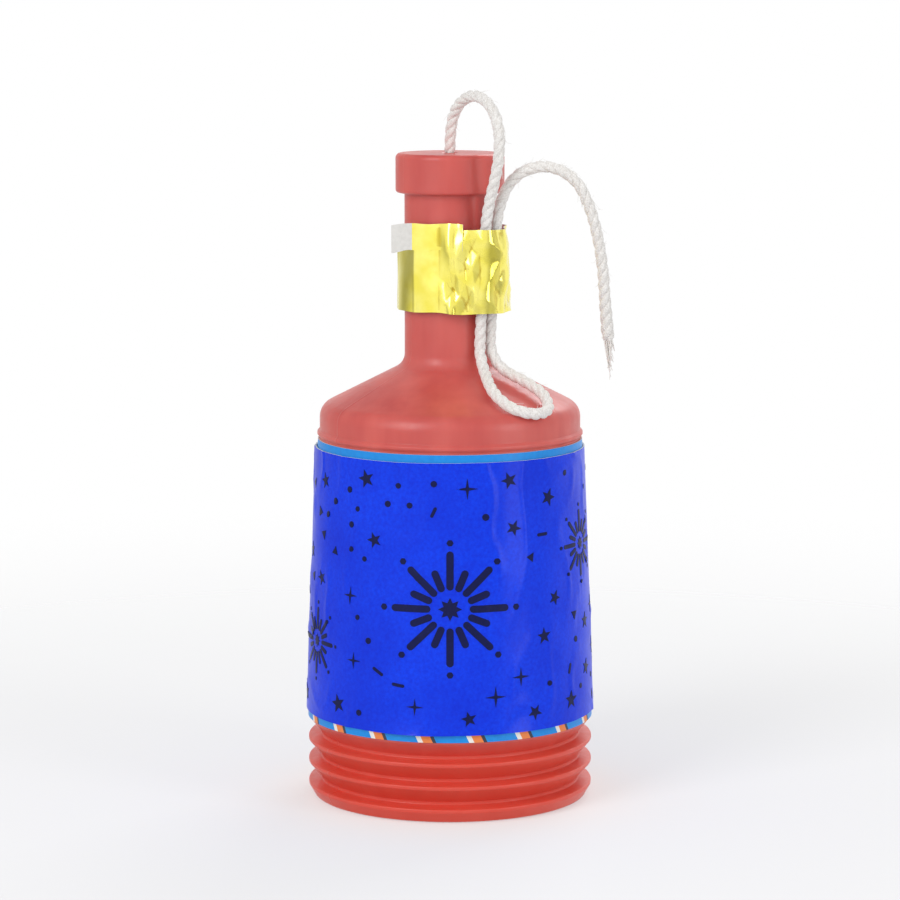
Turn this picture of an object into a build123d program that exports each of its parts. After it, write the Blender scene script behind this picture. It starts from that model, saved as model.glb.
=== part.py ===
from build123d import *
import os
from math import hypot, radians, tan

# A pull-string confetti popper in the shape of a small bottle.
# It stands on its open mouth with the neck up. Millimetres, +Z up, and the origin
# is the centre of the mouth rim.

# Moulded bottle: saw-tooth ridges at the mouth, tapered barrel, shoulder, neck and lip
WALL = 1.2
BODY_R = 22.6
RIM_SETBACK = 0.9
RIM_DEPTH = 1.6
RIDGE_COUNT = 3
RIDGE_PITCH = 3.6
RIDGE_DEPTH = 2.0
CREST_LAND = 0.5
STEP_DRAFT = 0.35
GROOVE_FLOOR = 0.5
FOOT_SETBACK = 0.2
BARREL_TAPER = 1.8
BARREL_LENGTH = 45.0
BEAD_HEIGHT = 0.4
BEAD_WIDTH = 1.2
SHOULDER_SLOPE = 27.0
SHOULDER_ROUND_R = 5.5
SHOULDER_LAND = 0.2
CAVITY_CHAMFER = 2.6
NECK_FILLET_R = 2.5
NECK_R = 7.15
NECK_LENGTH = 33.0
LIP_OVERHANG = 1.4
LIP_LENGTH = 6.2
LIP_CHAMFER = 0.6

# Paper wraps on the barrel
LABEL_PAPER = 0.25
GLUE_GAP = 0.05
INNER_LABEL_MARGIN = 0.3
OUTER_LABEL_SETBACK = 1.2
LAP_ANGLE = 14.0
LAP_BEARING = 100.0

# Foil strip on the neck
FOIL_THICKNESS = 0.25
FOIL_LENGTH = 13.0
FOIL_ABOVE_ROOT = 8.5
FOIL_CLEARANCE = 0.1
FOIL_TAB_LENGTH = 6.0
FOIL_TAB_WIDTH = 5.0
FOIL_TAB_BEARING = -112.0

# Pull string
STRING_D = 1.8
STRING_SIDES = 6
STRING_HOLE_CLEARANCE = 0.3
STRAND_SPACING = 2.1
STRAND_CLEARANCE = 0.35
STRING_BEARING = -50.0
PULL_TRAVEL = 6.0
TRAVEL_CLEARANCE = 0.3
KNOT_R = 2.0
KNOT_LENGTH = 3.2

# Friction igniter in the neck
TUBE_CLEARANCE = 0.1
TUBE_WALL = 1.1
TUBE_LENGTH = 16.0
FILL_CLEARANCE = 0.1
WASHER_THICKNESS = 1.0
CHARGE_LENGTH = 8.0

# Card disc in the mouth and the load behind it
DISC_RECESS = 1.7
DISC_THICKNESS = 1.0
DISC_CLEARANCE = 0.15
LOAD_CLEARANCE = 0.3
STACK_GAP = 0.1
SIDE_GAP = 0.3
CONFETTI_ROWS = 5
CONFETTI_TIERS = 2
CONFETTI_HEIGHT = 8.8
ROLLS_IN_RING = 6
ROLL_LENGTH = 26.0
ROLL_BORE_R = 1.2
WAD_THICKNESS = 2.0

# Radii and heights that follow from the sizes above
rim_r = BODY_R - RIM_SETBACK
groove_r = BODY_R - RIDGE_DEPTH
foot_r = BODY_R - FOOT_SETBACK
barrel_top_r = foot_r - BARREL_TAPER
foot_z = RIM_DEPTH + RIDGE_COUNT * RIDGE_PITCH
barrel_top_z = foot_z + BARREL_LENGTH
bead_top_z = barrel_top_z + BEAD_WIDTH
round_run = SHOULDER_ROUND_R * tan(radians(90 - SHOULDER_SLOPE) / 2)
corner_z = bead_top_z + SHOULDER_LAND + round_run
root_z = corner_z + (barrel_top_r - NECK_R) * tan(radians(SHOULDER_SLOPE))
tip_z = root_z + NECK_LENGTH
lip_r = NECK_R + LIP_OVERHANG
lip_z = tip_z - LIP_LENGTH
bore_r = groove_r - WALL
load_r = min(groove_r, barrel_top_r) - WALL - LOAD_CLEARANCE
string_r = STRING_D / 2

# How far an outline is drawn past the line that it is cut back to
PAST = 4.0


def nearest_vertex(outline, place):
    """The corner of a flat outline at a place."""
    return outline.vertices().sort_by_distance((*place, 0))[0]


def silhouette(dressed):
    """Half outline of the bottle, carried past its axis and below its mouth.

    The dressed outline has the ridges, the bead, the rounded shoulder and the lip.
    The plain one is for the cavity, which is a smooth bore behind the ridges.
    """
    ridge_points = []
    for ridge in range(RIDGE_COUNT):
        crest_z = RIM_DEPTH + ridge * RIDGE_PITCH
        floor_z = crest_z + CREST_LAND + STEP_DRAFT
        ridge_points += [
            (BODY_R, crest_z),
            (BODY_R, crest_z + CREST_LAND),
            (groove_r, floor_z),
            (groove_r, floor_z + GROOVE_FLOOR),
        ]
    foot = (foot_r, foot_z)
    barrel_top = (barrel_top_r, barrel_top_z)
    corner = (barrel_top_r, corner_z)
    root = (NECK_R, root_z)
    if not dressed:
        mouth = [(-PAST, -PAST), (groove_r, -PAST), ridge_points[-1]]
        points = mouth + [foot, barrel_top, corner, root, (NECK_R, tip_z), (-PAST, tip_z)]
        outline = make_face(Polyline(*points, close=True))
        return chamfer(nearest_vertex(outline, corner), CAVITY_CHAMFER)
    mouth = [(-PAST, -PAST), (rim_r, -PAST), (rim_r, 0)] + ridge_points
    bead_r = barrel_top_r + BEAD_HEIGHT
    bead = [
        (bead_r, barrel_top_z + BEAD_HEIGHT),
        (bead_r, bead_top_z - BEAD_HEIGHT),
        (barrel_top_r, bead_top_z),
    ]
    lip_edges = [(lip_r, lip_z), (lip_r, tip_z)]
    neck = [root, (NECK_R, lip_z)] + lip_edges + [(-PAST, tip_z)]
    points = mouth + [foot, barrel_top] + bead + [corner] + neck
    outline = make_face(Polyline(*points, close=True))
    outline = fillet(nearest_vertex(outline, corner), SHOULDER_ROUND_R)
    outline = fillet(nearest_vertex(outline, root), NECK_FILLET_R)
    return chamfer([nearest_vertex(outline, edge) for edge in lip_edges], LIP_CHAMFER)


def make_bottle_shell():
    """The cavity is the plain outline drawn in by the wall, under solid ridges and lip."""
    cavity = offset(silhouette(dressed=False), amount=-WALL, kind=Kind.INTERSECTION)
    wall = silhouette(dressed=True) - cavity
    quarter = Rectangle(2 * BODY_R, 2 * tip_z, align=(Align.MIN, Align.MIN))
    section = Plane.XZ * (wall & quarter)
    shell = revolve(section, Axis.Z)
    hole_r = string_r + STRING_HOLE_CLEARANCE
    return shell - Pos(0, 0, tip_z) * Cylinder(hole_r, 3 * WALL)


def barrel_r(z):
    """Outside radius of the tapered barrel at a height."""
    share = (z - foot_z) / BARREL_LENGTH
    return foot_r - BARREL_TAPER * share


def wrap(low_z, high_z, lift, sweep=360.0):
    """A strip of label paper round the barrel, lifted off the plastic."""
    inner_low = barrel_r(low_z) + lift
    inner_high = barrel_r(high_z) + lift
    section = make_face(
        Polyline(
            (inner_low, 0, low_z),
            (inner_low + LABEL_PAPER, 0, low_z),
            (inner_high + LABEL_PAPER, 0, high_z),
            (inner_high, 0, high_z),
            close=True,
        )
    )
    return revolve(section, Axis.Z, sweep)


def make_inner_label():
    return wrap(foot_z + INNER_LABEL_MARGIN, barrel_top_z - INNER_LABEL_MARGIN, GLUE_GAP)


def make_outer_label():
    """The second wrap goes once round and laps over its own start."""
    inset = INNER_LABEL_MARGIN + OUTER_LABEL_SETBACK
    low_z = foot_z + inset
    high_z = barrel_top_z - inset
    lift = LABEL_PAPER + 2 * GLUE_GAP
    lap = wrap(low_z, high_z, lift + LABEL_PAPER, LAP_ANGLE)
    return wrap(low_z, high_z, lift) + Rot(0, 0, LAP_BEARING) * lap


foil_z = root_z + FOIL_ABOVE_ROOT
foil_neck_r = NECK_R + FOIL_CLEARANCE
strand_in = NECK_R + string_r + STRAND_CLEARANCE
strand_out = lip_r + string_r + STRAND_CLEARANCE
strand_side = STRAND_SPACING / 2


def foil_loop(growth):
    """The strip's path round the neck and the two strands that it holds down."""
    rings = Circle(foil_neck_r + growth).edges()
    for side in (-1, 1):
        place = Pos(strand_out, side * strand_side)
        rings += (place * Circle(string_r + FOIL_CLEARANCE + growth)).edges()
    return make_hull(rings)


def make_neck_foil():
    """Foil strip pulled over the strands, with its end left standing as a tab."""
    band = extrude(foil_loop(FOIL_THICKNESS) - foil_loop(0), FOIL_LENGTH)
    tab = Pos(foil_neck_r, 0, FOIL_LENGTH) * Box(
        FOIL_THICKNESS,
        FOIL_TAB_LENGTH,
        FOIL_TAB_WIDTH,
        align=(Align.MIN, Align.MAX, Align.MAX),
    )
    turned_band = Rot(0, 0, STRING_BEARING) * band
    return Pos(0, 0, foil_z) * (turned_band + Rot(0, 0, FOIL_TAB_BEARING) * tab)


tube_top_z = tip_z - WALL
tube_r = NECK_R - WALL - TUBE_CLEARANCE
fill_r = tube_r - TUBE_WALL - FILL_CLEARANCE
charge_z = tube_top_z - WASHER_THICKNESS - CHARGE_LENGTH
lower_washer_z = charge_z - WASHER_THICKNESS
knot_z = lower_washer_z - PULL_TRAVEL - TRAVEL_CLEARANCE - KNOT_LENGTH


def ring(outer_r, inner_r, height, base_z):
    """A flat-ended ring on the axis, standing on a height."""
    section = extrude(Circle(outer_r) - Circle(inner_r), height)
    return Pos(0, 0, base_z) * section


def make_igniter():
    """Paper tube against the closed end of the neck, charge between two washers."""
    hole_r = string_r + STRING_HOLE_CLEARANCE
    tube = ring(tube_r, tube_r - TUBE_WALL, TUBE_LENGTH, tube_top_z - TUBE_LENGTH)
    upper_z = tube_top_z - WASHER_THICKNESS
    return {
        "igniter_tube": tube,
        "upper_washer": ring(fill_r, hole_r, WASHER_THICKNESS, upper_z),
        "friction_charge": ring(fill_r, hole_r, CHARGE_LENGTH, charge_z),
        "lower_washer": ring(fill_r, hole_r, WASHER_THICKNESS, lower_washer_z),
    }


def make_string_core():
    """The straight stretch from the knot to the hole in the tip."""
    start_z = knot_z + KNOT_LENGTH
    return Pos(0, 0, start_z) * extrude(Circle(string_r), tip_z - start_z)


def make_pull_knot():
    """A hard pulled knot: a bulge on the string with drawn-in ends."""
    bulge = Pos(0, 0, knot_z) * extrude(Circle(KNOT_R), KNOT_LENGTH)
    return chamfer(bulge.edges().filter_by(GeomType.CIRCLE), KNOT_R - string_r)


# The string's route outside: distance out from the axis on the string's side of
# the neck, distance across, and height. It leaves the tip, arches over the lip,
# slants in to the neck under the foil, doubles back in a loop on the shoulder,
# runs up under the foil and past the lip again and ends in a free tail.
STRING_ROUTE = [
    (0.0, 0.0, tip_z),
    (0.0, 0.0, 106.4),
    (2.4, -0.2, 110.0),
    (6.5, -0.5, 111.4),
    (10.6, -0.8, 110.0),
    (13.0, -1.0, 106.4),
    (13.1, -1.1, 102.2),
    (12.1, -1.1, 98.4),
    (10.7, -1.08, 94.8),
    (strand_out, -strand_side, 91.0),
    (strand_in, -strand_side, 71.6),
    (9.7, -1.5, 69.3),
    (12.4, -2.9, 67.6),
    (15.6, -4.5, 66.0),
    (19.2, -4.3, 63.9),
    (21.4, -1.2, 62.8),
    (20.7, 2.7, 63.0),
    (17.5, 4.7, 65.0),
    (14.0, 3.7, 66.9),
    (11.2, 2.0, 68.3),
    (9.5, 1.3, 69.8),
    (strand_in, strand_side, 72.0),
    (strand_out, strand_side, 91.2),
    (10.5, 1.5, 95.2),
    (11.8, 2.6, 98.4),
    (14.3, 4.5, 100.3),
    (17.2, 6.8, 100.3),
    (19.8, 8.9, 98.3),
    (21.0, 10.5, 94.4),
    (21.5, 11.9, 89.2),
    (21.5, 13.0, 83.8),
    (21.1, 13.8, 78.4),
    (21.2, 14.4, 73.2),
]
ARC_SHARE = 0.45


def route_points():
    """The route in the part's own axes."""
    side = Vector(1, 0, 0).rotate(Axis.Z, STRING_BEARING)
    across = Vector(0, 1, 0).rotate(Axis.Z, STRING_BEARING)
    up = Vector(0, 0, 1)
    return [side * out + across * along + up * z for out, along, z in STRING_ROUTE]


def make_pull_string():
    """A six-sided string along straight runs joined by the largest arcs that fit."""
    points = route_points()
    radii = []
    for before, here, after in zip(points, points[1:], points[2:]):
        run_in = here - before
        run_out = after - here
        half_turn = radians(run_in.get_angle(run_out)) / 2
        shorter = min(run_in.length, run_out.length)
        radii.append(ARC_SHARE * shorter / tan(half_turn))
    path = FilletPolyline(*points, radius=radii)
    start = Plane(origin=points[0], z_dir=points[1] - points[0])
    section = RegularPolygon(string_r, STRING_SIDES)
    string = sweep(start * section, path=path)
    print("string radii", [round(radius, 1) for radius in radii])
    share = string.volume / (section.area * path.length)
    print("string length", round(path.length, 1), "volume share", round(share, 4))
    return string


disc_top_z = DISC_RECESS + DISC_THICKNESS
confetti_z = disc_top_z + STACK_GAP
rolls_z = confetti_z + CONFETTI_TIERS * (CONFETTI_HEIGHT + STACK_GAP)
wad_z = rolls_z + ROLL_LENGTH + STACK_GAP


def make_mouth_disc():
    return Pos(0, 0, DISC_RECESS) * extrude(Circle(bore_r - DISC_CLEARANCE), DISC_THICKNESS)


def make_thrust_wad():
    return Pos(0, 0, wad_z) * extrude(Circle(load_r), WAD_THICKNESS)


def make_confetti(colour_count):
    """Stacks of square tissue bits on a grid that fills the bore, colours in turn."""
    last = CONFETTI_ROWS // 2
    pitch = load_r / hypot(last + 0.5, last - 0.5)
    side = pitch - SIDE_GAP
    stack = Box(side, side, CONFETTI_HEIGHT, align=(Align.CENTER, Align.CENTER, Align.MIN))
    colours = [[] for _ in range(colour_count)]
    turn = 0
    for tier in range(CONFETTI_TIERS):
        base_z = confetti_z + tier * (CONFETTI_HEIGHT + STACK_GAP)
        for column in range(-last, last + 1):
            for row in range(-last, last + 1):
                if abs(column) == last and abs(row) == last:
                    continue
                place = Pos(column * pitch, row * pitch, base_z)
                colours[turn % colour_count].append(place * stack)
                turn += 1
    return [Compound(children=stacks) for stacks in colours]


def make_streamers():
    """Paper tape rolls: one on the axis and a ring of rolls round it."""
    roll_r = (load_r - SIDE_GAP) / 3
    roll = ring(roll_r, ROLL_BORE_R, ROLL_LENGTH, rolls_z)
    places = PolarLocations(2 * roll_r + SIDE_GAP, ROLLS_IN_RING)
    return [roll] + [place * roll for place in places]


def make_parts():
    parts = {
        "bottle_shell": make_bottle_shell(),
        "inner_label": make_inner_label(),
        "outer_label": make_outer_label(),
        "neck_foil": make_neck_foil(),
        "string_core": make_string_core(),
        "pull_knot": make_pull_knot(),
        "pull_string": make_pull_string(),
        "mouth_disc": make_mouth_disc(),
        "thrust_wad": make_thrust_wad(),
    }
    parts.update(make_igniter())
    confetti_names = ["confetti_red", "confetti_white", "confetti_blue"]
    parts.update(zip(confetti_names, make_confetti(len(confetti_names))))
    for number, roll in enumerate(make_streamers(), start=1):
        parts[f"streamer_{number}"] = roll
    return parts


os.makedirs("parts", exist_ok=True)
for node, shape in make_parts().items():
    export_step(shape, f"parts/{node}.step")
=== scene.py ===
import bpy
import math
import random
import numpy as np
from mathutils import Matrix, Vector, geometry, noise


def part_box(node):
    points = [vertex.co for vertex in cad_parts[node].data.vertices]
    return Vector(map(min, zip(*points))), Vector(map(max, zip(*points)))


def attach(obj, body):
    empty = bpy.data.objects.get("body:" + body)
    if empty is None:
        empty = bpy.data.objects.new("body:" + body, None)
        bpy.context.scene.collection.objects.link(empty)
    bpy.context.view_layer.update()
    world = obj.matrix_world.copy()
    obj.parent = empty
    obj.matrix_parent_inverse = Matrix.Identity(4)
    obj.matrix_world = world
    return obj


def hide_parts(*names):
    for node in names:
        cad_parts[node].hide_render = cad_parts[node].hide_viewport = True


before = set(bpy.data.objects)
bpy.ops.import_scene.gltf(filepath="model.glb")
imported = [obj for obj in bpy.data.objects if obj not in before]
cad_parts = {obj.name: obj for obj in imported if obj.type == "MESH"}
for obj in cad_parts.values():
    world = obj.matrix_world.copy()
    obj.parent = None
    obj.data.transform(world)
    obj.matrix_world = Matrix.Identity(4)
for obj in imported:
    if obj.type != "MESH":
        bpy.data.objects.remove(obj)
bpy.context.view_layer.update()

# Bottle shell. The body of the popper is a small hollow bottle of coral polypropylene,
# moulded in one piece with a ridged mouth, a tapered barrel, a narrow neck and a lip.
# Everything else is glued, wrapped or packed on it or in it. Sizes are in millimetres.
WALL = 1.2
BODY_R = 22.6
RIM_R = 21.7
RIM_DEPTH = 1.6
RIDGE_COUNT = 3
RIDGE_PITCH = 3.6
GROOVE_R = 20.6
CREST_LAND = 0.5
STEP_DRAFT = 0.35
GROOVE_FLOOR = 0.5
FOOT_R = 22.4
FOOT_Z = 12.4
BARREL_TOP_R = 20.6
BARREL_TOP_Z = 57.4
BEAD_HEIGHT = 0.4
BEAD_WIDTH = 1.2
CORNER_Z = 62.17
SHOULDER_ROUND_R = 5.5
NECK_R = 7.15
NECK_FILLET_R = 2.5
NECK_LENGTH = 33.0
LIP_R = 8.55
LIP_LENGTH = 6.2
LIP_ROUND_R = 0.8
LIP_UNDER_R = 0.5
LIP_ROOT_R = 0.3
STRING_HOLE_R = 1.2
HOLE_EDGE_R = 0.2
HOLE_INSIDE_R = 0.1
MOULD_EDGE_R = 0.18
CAVITY_EDGE_R = 0.4
NECK_END_R = 0.05
LATHE_STEPS = 192
SHARP_ANGLE = math.radians(38.0)
ARC_STEP = 12.0
ARC_SHARE = 0.46
LONG_EDGE = 0.8
EDGE_SPAN = 3.0
EDGE_GUARD = 0.2
TIP_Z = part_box("bottle_shell")[1].z * 1000
ROOT_Z = TIP_Z - NECK_LENGTH
LIP_Z = TIP_Z - LIP_LENGTH


def linear(code):
    """An sRGB hex colour as the linear values that a shader socket takes."""
    shares = [int(code[i : i + 2], 16) / 255 for i in (1, 3, 5)]
    return [s / 12.92 if s <= 0.04045 else ((s + 0.055) / 1.055) ** 2.4 for s in shares] + [1.0]


def per_mm(size):
    """Texture scale, in metres, that gives features of a size in millimetres."""
    return 1000.0 / size


def fill(tree, node, sockets):
    """Sets a node's inputs to values or hex colours, or links other nodes' outputs to them."""
    for name, value in sockets.items():
        if isinstance(value, bpy.types.NodeSocket):
            tree.links.new(value, node.inputs[name])
        else:
            node.inputs[name].default_value = linear(value) if isinstance(value, str) else value


def add(tree, kind, sockets=None, out=0, **settings):
    """Adds one shader node with its settings, fills its inputs and gives one output."""
    made = tree.nodes.new("ShaderNode" + kind)
    for name, value in settings.items():
        setattr(made, name, value)
    fill(tree, made, sockets or {})
    return made.outputs[out]


def new_finish(name, **sockets):
    """A material with its tree, its shader, and the place on the object in metres."""
    finish = bpy.data.materials.new(name)
    finish.use_nodes = True
    tree = finish.node_tree
    shader = tree.nodes["Principled BSDF"]
    fill(tree, shader, {socket.replace("_", " "): value for socket, value in sockets.items()})
    return finish, tree, shader, add(tree, "TexCoord", out="Object")


def blend(tree, pattern, below, above, span=(0.0, 1.0), most=1.0):
    """One colour going over to another, by at most a share, as a pattern crosses a span.

    A Map Range node reads between its inputs 1 and 2 and gives from input 3 to input 4.
    A Mix node's colours are its inputs 6 and 7 and its output 2.
    """
    share = add(tree, "MapRange", {0: pattern, 1: span[0], 2: span[1], 4: most})
    return add(tree, "Mix", {0: share, 6: below, 7: above}, 2, data_type="RGBA")


def round_axis(tree, place):
    """Bearing of a place round the bottle's axis, and its height in metres."""
    x, y, height = (add(tree, "SeparateXYZ", {0: place}, axis) for axis in "XYZ")
    return add(tree, "Math", {0: y, 1: x}, operation="ARCTAN2"), height


def new_piece(name, points, faces, finishes, marks=None):
    """A mesh object from points in millimetres, smooth but for its real edges."""
    mesh = bpy.data.meshes.new(name)
    mesh.from_pydata((np.array(points, float) * 0.001).tolist(), [], faces)
    for finish in finishes:
        mesh.materials.append(finish)
    if marks is not None:
        mesh.polygons.foreach_set("material_index", marks)
    mesh.polygons.foreach_set("use_smooth", [True] * len(mesh.polygons))
    mesh.set_sharp_from_angle(angle=SHARP_ANGLE)
    mesh.update()
    piece = bpy.data.objects.new(name, mesh)
    bpy.context.scene.collection.objects.link(piece)
    return piece


def inset(outline, depth):
    """An open outline moved in by the wall, its edges carried on until they meet."""
    lines = []
    for (r0, z0), (r1, z1) in zip(outline, outline[1:]):
        length = math.hypot(r1 - r0, z1 - z0)
        dr, dz = (r1 - r0) / length, (z1 - z0) / length
        lines.append((r0 - dz * depth, z0 + dr * depth, dr, dz))
    moved = [lines[0][:2]]
    for (r0, z0, dr0, dz0), (r1, z1, dr1, dz1) in zip(lines, lines[1:]):
        cross = dr0 * dz1 - dz0 * dr1
        run = ((r1 - r0) * dz1 - (z1 - z0) * dr1) / cross
        moved.append((r0 + dr0 * run, z0 + dz0 * run))
    return moved


def rounded(corners, span=EDGE_SPAN):
    """A closed outline with each corner (r, z, radius) turned into an arc and long edges split."""
    outline = []
    for i, (r, z, radius) in enumerate(corners):
        here = np.array((r, z))
        before = np.array(corners[i - 1][:2]) - here
        after = np.array(corners[(i + 1) % len(corners)][:2]) - here
        to_before, to_after = np.linalg.norm(before), np.linalg.norm(after)
        before, after = before / to_before, after / to_after
        half = math.acos(max(-1.0, min(1.0, float(before @ after)))) / 2
        reach = min(radius / math.tan(half), ARC_SHARE * min(to_before, to_after))
        turn = math.pi - 2 * half
        steps = max(2, math.ceil(math.degrees(turn) / ARC_STEP))
        arc_r = reach * math.tan(half)
        middle = here + (before + after) / np.linalg.norm(before + after) * arc_r / math.sin(half)
        start, end = here + before * reach - middle, here + after * reach - middle
        for share in np.arange(steps + 1) / steps:
            spoke = (math.sin((1 - share) * turn) * start + math.sin(share * turn) * end) / math.sin(turn)
            outline.append(middle + spoke)
    split = []
    for here, after in zip(outline, outline[1:] + outline[:1]):
        length = np.linalg.norm(after - here)
        split.append(here)
        if length > LONG_EDGE:
            guard = EDGE_GUARD / length
            shares = np.linspace(guard, 1 - guard, max(2, round(length / span) + 1))
            split += [here + (after - here) * share for share in shares]
    return split


def polar(radius, turn):
    """A point at a radius and an angle."""
    return radius * math.cos(turn), radius * math.sin(turn)


def once_round(count):
    """Evenly spaced angles that go once round."""
    return np.linspace(0, math.tau, count, endpoint=False)


def loft(rings, closed=False, ends=True):
    """Points and faces over rings of points, led back to the first or closed at both ends."""
    count, sides = len(rings), len(rings[0])
    points = [point for ring in rings for point in ring]
    faces = []
    for ring in range(count if closed else count - 1):
        low, high = ring * sides, (ring + 1) % count * sides
        for side in range(sides):
            after = (side + 1) % sides
            faces.append((low + side, low + after, high + after, high + side))
    if ends and not closed:
        last = (count - 1) * sides
        for side in range(sides // 2 - 1):
            rung = (side, side + 1, sides - 2 - side, sides - 1 - side)
            faces.append(rung[::-1])
            faces.append(tuple(last + corner for corner in rung))
    return points, faces


def lathe(outline, steps):
    """A closed outline turned round the axis."""
    return loft([[(*polar(r, turn), z) for turn in once_round(steps)] for r, z in outline], closed=True)


ridge_points = []
for ridge in range(RIDGE_COUNT):
    crest_z = RIM_DEPTH + ridge * RIDGE_PITCH
    floor_z = crest_z + CREST_LAND + STEP_DRAFT
    ridge_points += [(BODY_R, crest_z), (BODY_R, crest_z + CREST_LAND)]
    ridge_points += [(GROOVE_R, floor_z), (GROOVE_R, floor_z + GROOVE_FLOOR)]
foot, barrel_top = (FOOT_R, FOOT_Z), (BARREL_TOP_R, BARREL_TOP_Z)
shoulder, root = (BARREL_TOP_R, CORNER_Z), (NECK_R, ROOT_Z)
bead_r = BARREL_TOP_R + BEAD_HEIGHT
bead = [
    (bead_r, BARREL_TOP_Z + BEAD_HEIGHT),
    (bead_r, BARREL_TOP_Z + BEAD_WIDTH - BEAD_HEIGHT),
    (BARREL_TOP_R, BARREL_TOP_Z + BEAD_WIDTH),
]
mould_edges = [(RIM_R, 0.0)] + ridge_points + [foot, barrel_top] + bead
shell_corners = [(r, z, MOULD_EDGE_R) for r, z in mould_edges]
shell_corners += [
    (*shoulder, SHOULDER_ROUND_R),
    (*root, NECK_FILLET_R),
    (NECK_R, LIP_Z, LIP_ROOT_R),
    (LIP_R, LIP_Z, LIP_UNDER_R),
    (LIP_R, TIP_Z, LIP_ROUND_R),
    (STRING_HOLE_R, TIP_Z, HOLE_EDGE_R),
    (STRING_HOLE_R, TIP_Z - WALL, HOLE_INSIDE_R),
]

# The cavity keeps the wall inside a plain bottle: a smooth bore lies behind the ridges.
plain = [(GROOVE_R, 0.0), ridge_points[-1], foot, barrel_top, shoulder, root, (NECK_R, TIP_Z), (0.0, TIP_Z)]
cavity_rounds = [MOULD_EDGE_R] + 3 * [CAVITY_EDGE_R] + [SHOULDER_ROUND_R - WALL, NECK_FILLET_R, NECK_END_R]
cavity = [(r, z, radius) for (r, z), radius in zip(inset(plain, WALL), cavity_rounds)]
shell_corners += reversed(cavity)

# Moulded polypropylene: waxy coral that lets a little light in, so edges glow a clearer red; the clearer
# red of the thin mouth ridges is a painted glow. Satin skin from the mould, faint flow streaks and handling
# scuffs.
RIDGES_PAINTED_GLOW = (0.0135, 0.0095)
coral, tree, shader, place = new_finish(
    "moulded_coral_polypropylene",
    IOR=1.49,
    Subsurface_Weight=0.3,
    Subsurface_Scale=0.0012,
    Subsurface_Radius=(1.0, 0.28, 0.18),
)
bearing, height = round_axis(tree, place)
stretched = add(tree, "Mapping", {"Vector": place, "Scale": (1.0, 1.0, 0.2)})
streaks = add(tree, "TexNoise", {"Vector": stretched, "Scale": per_mm(5.0), "Detail": 3.0})
cloud = add(tree, "TexNoise", {"Vector": place, "Scale": per_mm(14.0), "Detail": 2.0})
body = blend(tree, streaks, "#C94F4A", "#D9625A", (0.35, 0.7))
body = blend(tree, cloud, body, "#E07C74", (0.4, 0.75), 0.35)
# Painted glow: low on the bottle, over the mouth ridges, the colour goes over to a clearer red that stands
# in for light shining through the thin plastic.
body = blend(tree, height, body, "#E24A34", RIDGES_PAINTED_GLOW, 0.75)
scuffs = add(tree, "TexNoise", {"Vector": place, "Scale": per_mm(1.6), "Detail": 6.0, "Roughness": 0.7})
satin = add(tree, "MapRange", {0: scuffs, 1: 0.3, 2: 0.75, 3: 0.30, 4: 0.46})
skin = add(tree, "TexNoise", {"Vector": place, "Scale": per_mm(0.45), "Detail": 2.0})
skin_bump = add(tree, "Bump", {"Height": skin, "Strength": 0.10, "Distance": 0.00004})
sink = add(tree, "TexNoise", {"Vector": place, "Scale": per_mm(9.0)})
sink_bump = add(tree, "Bump", {"Height": sink, "Strength": 0.25, "Distance": 0.0003, "Normal": skin_bump})

# The two halves of the mould leave a fine raised line on opposite sides.
PARTING_TURN = 1.82
half_turns = add(tree, "Math", {0: bearing, 1: 1 / math.pi, 2: PARTING_TURN}, operation="MULTIPLY_ADD")
off_line = add(tree, "Math", {0: half_turns, 1: 0.5}, operation="PINGPONG")
parting = add(tree, "MapRange", {0: off_line, 1: 0.0018, 2: 0.0045, 3: 1.0, 4: 0.0})
line_relief = {"Height": parting, "Strength": 0.5, "Distance": 0.00012, "Normal": sink_bump}
line_bump = add(tree, "Bump", line_relief)
fill(tree, shader, {"Base Color": body, "Roughness": satin, "Normal": line_bump})

bottle = new_piece("bottle_body", *lathe(rounded(shell_corners), LATHE_STEPS), [coral])
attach(bottle, "bottle")
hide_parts("bottle_shell")

# Friction igniter. A wound kraft tube is glued into the closed end of the neck and holds
# a pressed plug of friction composition between two punched card washers.
# The solids have the right shape, so they stay and get their finishes.

# Kraft card: brown long-fibre board, matt, with darker flecks and a fibre lay that shows
# as short streaks. The grain is drawn at 0.8 mm, coarser than real, so that it shows.
kraft, tree, shader, place = new_finish("pressed_kraft_card", Roughness=0.88, IOR=1.45)
grain_lay = add(tree, "Mapping", {"Vector": place, "Scale": (1.0, 1.0, 3.0)})
grain = add(tree, "TexNoise", {"Vector": grain_lay, "Scale": per_mm(0.8), "Detail": 6.0, "Roughness": 0.7})
flecks = add(tree, "TexVoronoi", {"Vector": place, "Scale": per_mm(1.5)})
brown = blend(tree, grain, "#8F6F4A", "#BC9A6E", (0.3, 0.7))
brown = blend(tree, flecks, brown, "#5E452B", (0.12, 0.04))
grain_bump = add(tree, "Bump", {"Height": grain, "Strength": 0.5, "Distance": 0.0001})
fill(tree, shader, {"Base Color": brown, "Normal": grain_bump})

# Friction composition: dry pressed powder, dark red-brown, fully matt and crumbly,
# with paler grains about 0.3 mm across.
powder, tree, shader, place = new_finish("pressed_friction_powder", Roughness=0.95)
crumbs = add(tree, "TexVoronoi", {"Vector": place, "Scale": per_mm(0.3)})
crumb_bump = add(tree, "Bump", {"Height": crumbs, "Strength": 0.8, "Distance": 0.00015})
dark_red = blend(tree, crumbs, "#6E3A30", "#3A1A16", (0.1, 0.6))
fill(tree, shader, {"Base Color": dark_red, "Normal": crumb_bump})

for name, finish in (
    ("igniter_tube", kraft),
    ("upper_washer", kraft),
    ("lower_washer", kraft),
    ("friction_charge", powder),
):
    node_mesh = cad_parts[name].data
    node_mesh.materials.clear()
    node_mesh.materials.append(finish)

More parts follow.
